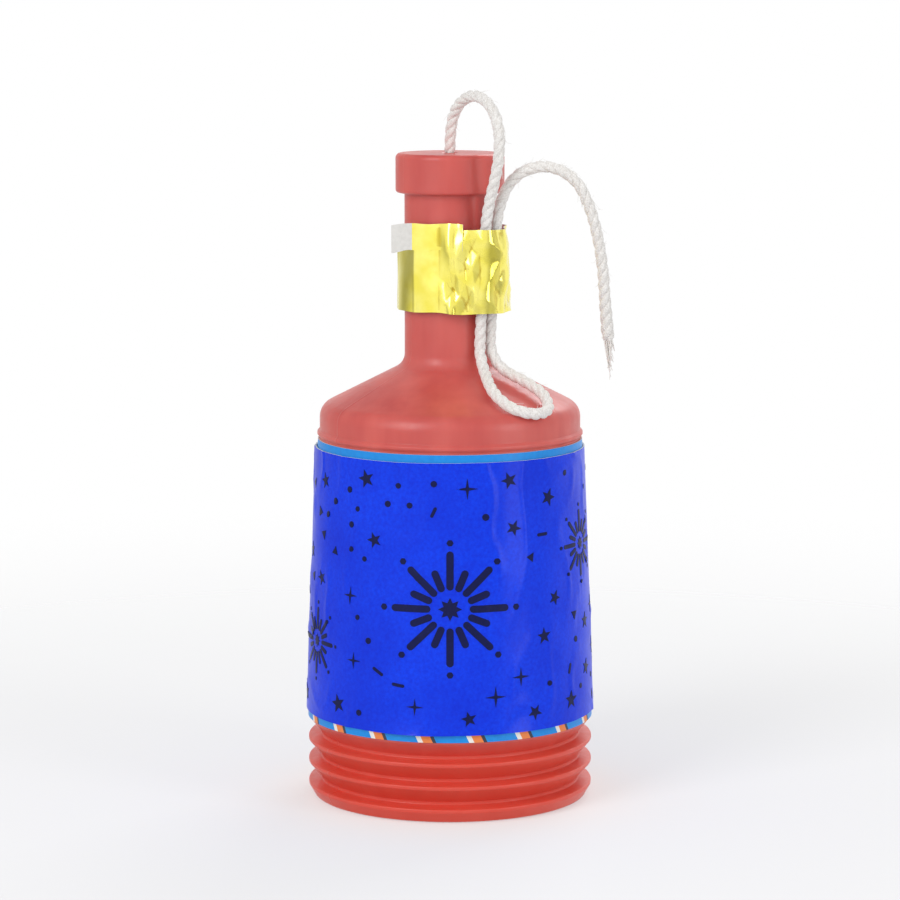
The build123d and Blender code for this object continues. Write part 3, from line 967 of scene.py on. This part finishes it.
def bar(length, width, turn, out=0.0):
    """A round-ended dash, set out from a middle."""
    shape = []
    for end, start in ((1, -90), (-1, 90)):
        for step in range(BAR_END_STEPS + 1):
            x, y = polar(width / 2, math.radians(start + 180 / BAR_END_STEPS * step))
            shape.append((x + end * (length - width) / 2 + out, y))
    c, s = math.cos(turn), math.sin(turn)
    return [(x * c - y * s, x * s + y * c) for x, y in shape]


# Bursts: bearing in degrees, height and size. Long and short rays take turns round a small
# star, and each long ray has a dot off its end. Lengths are shares of the burst's size.
BURSTS = [
    (-90.0, 33.5, 10.4),
    (-22.0, 41.5, 6.2),
    (-158.0, 26.0, 6.2),
    (40.0, 28.5, 9.0),
    (160.0, 43.0, 5.4),
]
BURST_RAYS = 16
RAY_FROM, LONG_RAY, SHORT_RAY, RAY_WIDTH = 0.28, 0.58, 0.34, 0.105
DOT_FROM, DOT_TIPS, DOT_TIP, DOT_NOTCH = 0.98, 6, 0.05, 0.045
MIDDLE_TIPS, MIDDLE_TIP, MIDDLE_NOTCH = 8, 0.17, 0.10
ink_parts = []
for degrees, z, size in BURSTS:
    turn = math.radians(degrees)
    ink_parts.append(ink_mark(rays(MIDDLE_TIPS, MIDDLE_TIP * size, MIDDLE_NOTCH * size), turn, z))
    for k, angle in enumerate(once_round(BURST_RAYS)):
        length = SHORT_RAY if k % 2 else LONG_RAY
        ray = bar(size * length, size * RAY_WIDTH, angle, size * (RAY_FROM + length / 2))
        ink_parts.append(ink_mark(ray, turn, z))
        if length == LONG_RAY:
            dot_x, dot_y = polar(size * DOT_FROM, angle)
            dot = rays(DOT_TIPS, DOT_TIP * size, DOT_NOTCH * size)
            ink_parts.append(ink_mark([(dot_x + x, dot_y + y) for x, y in dot], turn, z, rings=1))

# Scattered marks: size, number of points, how far out the notches are, and whether it is
# turned. A dash has no points. They keep off the label's lapped seam and its edges.
STAR = (1.45, 5, 0.42, True)
DOT = (0.5, 8, 0.95, False)
SPARKLE = (1.5, 4, 0.20, False)
DASH = (1.0, 0, 0.0, True)
TRIANGLE = (0.9, 3, 0.5, True)
SCATTER = [STAR, DOT, SPARKLE, DOT, DASH, STAR, DOT, TRIANGLE]
MARK_COUNT = 120
MARK_TRIES = 6000
MARK_GAP = 1.5
MARK_MARGIN = 2.4
MARKS_FROM, MARKS_TO = 118.0, 452.0
MARK_SIZES = (0.85, 1.1)
DASH_WIDTH = 0.5
BURST_REACH = 1.12
draw = random.Random(12)
placed = [(degrees, z, size * BURST_REACH) for degrees, z, size in BURSTS]
for _ in range(MARK_TRIES):
    if len(placed) == MARK_COUNT:
        break
    degrees = draw.uniform(MARKS_FROM, MARKS_TO) - 360.0
    z = draw.uniform(LABEL_LOW + MARK_MARGIN, LABEL_HIGH - MARK_MARGIN)
    radius, tips, notch, turns = SCATTER[len(placed) % len(SCATTER)]
    gaps = []
    for other, other_z, other_r in placed:
        swing = (degrees - other + 180.0) % 360.0 - 180.0
        gaps.append(math.hypot(math.radians(swing) * barrel_r(z), z - other_z) - other_r - radius)
    if min(gaps) < MARK_GAP:
        continue
    placed.append((degrees, z, radius))
    spin = draw.uniform(0, math.tau)
    size = radius * draw.uniform(*MARK_SIZES)
    if tips:
        shape = rays(tips, size, notch * size, spin if turns else 0.0)
    else:
        shape = bar(2 * size, DASH_WIDTH, spin)
    ink_parts.append(ink_mark(shape, math.radians(degrees), z, rings=2))

# Printing ink: dark navy, a thin even film with the satin of the varnish over it.
navy_ink, tree, shader, place = new_finish("dark_navy_printing_ink", IOR=1.5, Specular_IOR_Level=0.15)
lay_down = add(tree, "TexNoise", {"Vector": place, "Scale": per_mm(0.4), "Detail": 3.0})
navy = blend(tree, lay_down, "#0A0F3E", "#151D54")
ink_gloss = add(tree, "MapRange", {0: lay_down, 1: 0.3, 2: 0.7, 3: 0.3, 4: 0.45})
fill(tree, shader, {"Base Color": navy, "Roughness": ink_gloss})
label_print = new_piece("label_print", *joined(ink_parts), [navy_ink])
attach(label_print, "bottle")

# Thrust wad. A die-cut disc of kraft card above the load: the igniter's gas pushes on it,
# and it pushes the streamers and confetti out of the mouth together.
HUB_R = 0.02
HUB_EDGE_R = 0.005
DISC_STEPS = 120
DISC_SPAN = 1.6
WAD_DISH, WAD_EDGE_R, WAD_SHORT = 0.12, 0.25, 0.15


def card_disc(radius, low, high, dish, edge_r):
    """A die-cut disc with a soft edge, slightly dished, closed at its middle by a small hub."""
    corners = [(radius, low, edge_r), (radius, high, edge_r)]
    corners += [(HUB_R, high, HUB_EDGE_R), (HUB_R, low, HUB_EDGE_R)]
    outline = [(r, z + dish * (1 - (r / radius) ** 2)) for r, z in rounded(corners, DISC_SPAN)]
    return lathe(outline, DISC_STEPS)


wad_low, wad_high = (corner * 1000 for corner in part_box("thrust_wad"))
wad_disc = card_disc(wad_high.x, wad_low.z, wad_high.z - WAD_SHORT, WAD_DISH, WAD_EDGE_R)
wad = new_piece("thrust_wad_card", *wad_disc, [kraft])
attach(wad, "load")
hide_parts("thrust_wad")

# Streamers. Seven rolls of thin coloured paper tape stand side by side under the wad, one
# in the middle and six round it. Each is wound on itself, with its loose end on the outside.
ROLL_COUNT = 7
ROLL_WINDS = 13
ROLL_STEPS = 44
ROLL_BORE_R = 1.2
TAPE_SHARE = 0.8
TAPE_SHORT = 0.05
TELESCOPE = 0.28


def tissue(name, dark, light):
    """Dyed tissue: thin soft paper, matt, a little uneven in its dye, with fine crepe lines."""
    finish, tree, shader, place = new_finish(name, Roughness=0.85, IOR=1.4, Sheen_Weight=0.15)
    dye = add(tree, "TexNoise", {"Vector": place, "Scale": per_mm(1.2), "Detail": 4.0})
    dyed = blend(tree, dye, dark, light, (0.3, 0.7))
    crepe = add(tree, "TexNoise", {"Vector": place, "Scale": per_mm(0.35), "Detail": 2.0})
    crepe_bump = add(tree, "Bump", {"Height": crepe, "Strength": 0.35, "Distance": 0.0001})
    fill(tree, shader, {"Base Color": dyed, "Normal": crepe_bump})
    return finish


tissues = {
    "red": tissue("dyed_red_tissue", "#CC1A23", "#DC2A33"),
    "white": tissue("bleached_white_tissue", "#EEEEEC", "#F8F8F6"),
    "blue": tissue("dyed_blue_tissue", "#1836C2", "#2446D2"),
}
colours = list(tissues)
draw = random.Random(5)
for number in range(ROLL_COUNT):
    node = f"streamer_{number + 1}"
    low, high = (corner * 1000 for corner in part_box(node))
    middle = (low + high) / 2
    roll_r = (high.x - low.x) / 2
    tape_pitch = (roll_r - ROLL_BORE_R) / ROLL_WINDS
    start = draw.uniform(0, math.tau)
    telescope = [draw.uniform(-TELESCOPE, 0.0) for _ in range(ROLL_WINDS + 2)]
    rings = []
    for wind in np.arange(ROLL_WINDS * ROLL_STEPS + 1) / ROLL_STEPS:
        slip = np.interp(wind, range(ROLL_WINDS + 2), telescope)
        inner_r = ROLL_BORE_R + max(0.0, wind - 1) * tape_pitch
        outer_r = inner_r + TAPE_SHARE * tape_pitch
        base_z, top_z = low.z + TAPE_SHORT - slip, high.z - TAPE_SHORT + slip
        ring = []
        for r, z in ((inner_r, top_z), (outer_r, top_z), (outer_r, base_z), (inner_r, base_z)):
            x, y = polar(r, start + math.tau * wind)
            ring.append((middle.x + x, middle.y + y, z))
        rings.append(ring)
    colour = colours[number % len(colours)]
    roll = new_piece(f"{node}_tape", *loft(rings), [tissues[colour]])
    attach(roll, "load")
    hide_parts(node)

# Confetti. Squares of the same dyed tissue, punched in piles and poured in as small stacks
# that fill the mouth end. The bits in a stack have slipped and turned a little.
# A bit is drawn 0.45 mm thick, as several sheets that cling together.
CONFETTI_ROWS = 5
CONFETTI_TIERS = 2
BITS_IN_STACK = 14
BIT_PAPER = 0.45
BIT_SHARE = 0.8
BIT_ABOVE = 0.02
BIT_SIZES = (0.86, 0.92)
BIT_SPIN, BIT_SLIP, BIT_LEAN = 0.10, 0.12, 0.06
STACK_GAP = 0.1
SIDE_GAP = 0.3
SQUARE = ((-1, -1), (1, -1), (1, 1), (-1, 1))
draw = random.Random(9)
lows = [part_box(f"confetti_{colour}")[0] * 1000 for colour in tissues]
highs = [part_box(f"confetti_{colour}")[1] * 1000 for colour in tissues]
confetti_low, confetti_high = min(v.z for v in lows), max(v.z for v in highs)
pitch = (2 * max(v.x for v in highs) + SIDE_GAP) / CONFETTI_ROWS
tier_height = (confetti_high - confetti_low - STACK_GAP) / CONFETTI_TIERS
last = CONFETTI_ROWS // 2
lines = range(-last, last + 1)
spots = [(x, y) for x in lines for y in lines if abs(x) < last or abs(y) < last]
stacks = {colour: [] for colour in colours}
for number, (tier, (column, row)) in enumerate((t, s) for t in range(CONFETTI_TIERS) for s in spots):
    base_z = confetti_low + tier * (tier_height + STACK_GAP) + BIT_ABOVE
    for bit in range(BITS_IN_STACK):
        z = base_z + bit * (tier_height - BIT_PAPER) / (BITS_IN_STACK - 1)
        spin = draw.uniform(-BIT_SPIN, BIT_SPIN)
        half_side = (pitch - SIDE_GAP) / 2 * draw.uniform(*BIT_SIZES)
        cx = column * pitch + draw.uniform(-BIT_SLIP, BIT_SLIP)
        cy = row * pitch + draw.uniform(-BIT_SLIP, BIT_SLIP)
        lean = draw.uniform(-BIT_LEAN, BIT_LEAN)
        c, s = half_side * math.cos(spin), half_side * math.sin(spin)
        under = [(cx + x * c - y * s, cy + x * s + y * c, z + max(0.0, lean * x)) for x, y in SQUARE]
        over = [(x, y, low_z + BIT_PAPER * BIT_SHARE) for x, y, low_z in under]
        stacks[colours[number % len(colours)]].append(loft([under, over]))
for colour, bits in stacks.items():
    pile = new_piece(f"confetti_{colour}_bits", *joined(bits), [tissues[colour]])
    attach(pile, "load")
    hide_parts(f"confetti_{colour}")

# Mouth disc. A die-cut disc of grey-white card pressed into the mouth closes the popper
# until it is fired.
DISC_DISH, DISC_EDGE_R, DISC_SHORT = -0.15, 0.15, 0.15

# Grey card: recycled white-lined board, matt, cool grey with short fibres and faint specks.
grey_card, tree, shader, place = new_finish("white_lined_grey_card", Roughness=0.85, IOR=1.45)
fibre_lay = add(tree, "Mapping", {"Vector": place, "Scale": (1.0, 3.0, 1.0)})
short_fibres = add(tree, "TexNoise", {"Vector": fibre_lay, "Scale": per_mm(0.9), "Detail": 6.0})
specks = add(tree, "TexVoronoi", {"Vector": place, "Scale": per_mm(2.4)})
grey = blend(tree, short_fibres, "#BDB9C2", "#D6D3DA", (0.3, 0.7))
grey = blend(tree, specks, grey, "#8E8A92", (0.09, 0.03), 0.6)
fibre_bump = add(tree, "Bump", {"Height": short_fibres, "Strength": 0.4, "Distance": 0.0001})
fill(tree, shader, {"Base Color": grey, "Normal": fibre_bump})

disc_low, disc_high = (corner * 1000 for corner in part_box("mouth_disc"))
closing_disc = card_disc(disc_high.x, disc_low.z + DISC_SHORT, disc_high.z, DISC_DISH, DISC_EDGE_R)
disc = new_piece("mouth_disc_card", *closing_disc, [grey_card])
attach(disc, "lid")
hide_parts("mouth_disc")

# Studio. A plain pale floor that is part see-through, so that the load still shows when
# it has left the mouth, with three soft boxes and a white surround. Lengths are in metres.
FLOOR_HALF = 3.0
FLOOR_Z = -0.0002
FLOOR_CLEAR = 0.45
FLOOR_NEAR = 0.06
FLOOR_FAR = 0.30
floor_mesh = bpy.data.meshes.new("floor")
floor_corners = [(x * FLOOR_HALF, y * FLOOR_HALF, 0) for x, y in SQUARE]
floor_mesh.from_pydata(floor_corners, [], [(0, 1, 2, 3)])
floor = bpy.data.objects.new("floor", floor_mesh)
floor.location.z = FLOOR_Z
bpy.context.scene.collection.objects.link(floor)
floor_finish = bpy.data.materials.new("pale_matt_floor")
floor_finish.use_nodes = True
tree = floor_finish.node_tree
tree.nodes.remove(tree.nodes["Principled BSDF"])
matt = add(tree, "BsdfDiffuse", {"Color": "#F4F4F6"})
clear = add(tree, "BsdfTransparent")
below = add(tree, "NewGeometry", out="Backfacing")
place = add(tree, "TexCoord", out="Object")
from_axis = add(tree, "VectorMath", {0: place}, "Value", operation="LENGTH")
fade_range = {0: from_axis, 1: FLOOR_NEAR, 2: FLOOR_FAR, 3: FLOOR_CLEAR}
fade = add(tree, "MapRange", fade_range, interpolation_type="SMOOTHSTEP")
clear_share = add(tree, "Math", {0: below, 1: fade}, operation="MAXIMUM")
floor_mix = add(tree, "MixShader", {0: clear_share, 1: matt, 2: clear})
fill(tree, tree.nodes["Material Output"], {"Surface": floor_mix})
floor_mesh.materials.append(floor_finish)

# The surround is white to the eye. In gloss it is white towards the front left and the
# back right, and falls off between them, which keeps the folds of the foil apart.
AMBIENT = 0.55
GLOSS_LOW = 0.40
GLOSS_FROM, GLOSS_TO = 0.1, 0.75
BRIGHT_SIDE = (-0.54, -0.80, 0.25)
world = bpy.data.worlds.new("white_surround")
bpy.context.scene.world = world
world.use_nodes = True
tree = world.node_tree
direct = add(tree, "LightPath", out="Is Camera Ray")
through = add(tree, "LightPath", out="Is Transmission Ray")
glossy = add(tree, "LightPath", out="Is Glossy Ray")
seen = add(tree, "Math", {0: direct, 1: through}, operation="MAXIMUM")
view_way = add(tree, "TexCoord", out="Generated")
facing = add(tree, "VectorMath", {0: view_way, 1: BRIGHT_SIDE}, "Value", operation="DOT_PRODUCT")
either_way = add(tree, "Math", {0: facing}, operation="ABSOLUTE")
mirrored = add(tree, "MapRange", {0: either_way, 1: GLOSS_FROM, 2: GLOSS_TO, 3: GLOSS_LOW})
unseen = add(tree, "MapRange", {0: glossy, 3: AMBIENT, 4: mirrored})
strength = add(tree, "MapRange", {0: seen, 3: unseen})
fill(tree, tree.nodes["Background"], {"Color": (1.0, 1.0, 1.0, 1.0), "Strength": strength})

# Soft boxes: place, width, height and power in watts, all turned to the popper's middle.
LAMPS = {
    "key_box": ((-0.42, -0.50, 0.42), 0.30, 0.50, 2.3),
    "fill_box": ((0.52, -0.38, 0.20), 0.22, 0.50, 1.1),
    "back_box": ((0.25, 0.55, 0.50), 0.40, 0.30, 1.4),
}
aim = Vector((0.0, 0.0, 0.055))


def aimed(name, data, spot):
    """A lamp or camera set at a place and turned to the aim."""
    stand = bpy.data.objects.new(name, data)
    stand.location = spot
    stand.rotation_euler = (aim - Vector(spot)).to_track_quat("-Z", "Y").to_euler()
    bpy.context.scene.collection.objects.link(stand)
    return stand


for name, (spot, wide, tall, power) in LAMPS.items():
    lamp = bpy.data.lights.new(name, "AREA")
    lamp.shape = "RECTANGLE"
    lamp.size, lamp.size_y = wide, tall
    lamp.energy = power
    aimed(name, lamp, spot)

# Camera. Level with the label and a little above it, as the photograph is taken.
CAMERA_ELEVATION = math.radians(8.0)
CAMERA_DISTANCE = 0.535
camera_data = bpy.data.cameras.new("camera")
camera_data.lens = 135.0
camera_data.sensor_width = 36.0
camera_way = Vector((0.0, -math.cos(CAMERA_ELEVATION), math.sin(CAMERA_ELEVATION)))
bpy.context.scene.camera = aimed("camera", camera_data, aim + CAMERA_DISTANCE * camera_way)
bpy.context.scene.view_settings.view_transform = "Standard"

bpy.context.view_layer.update()
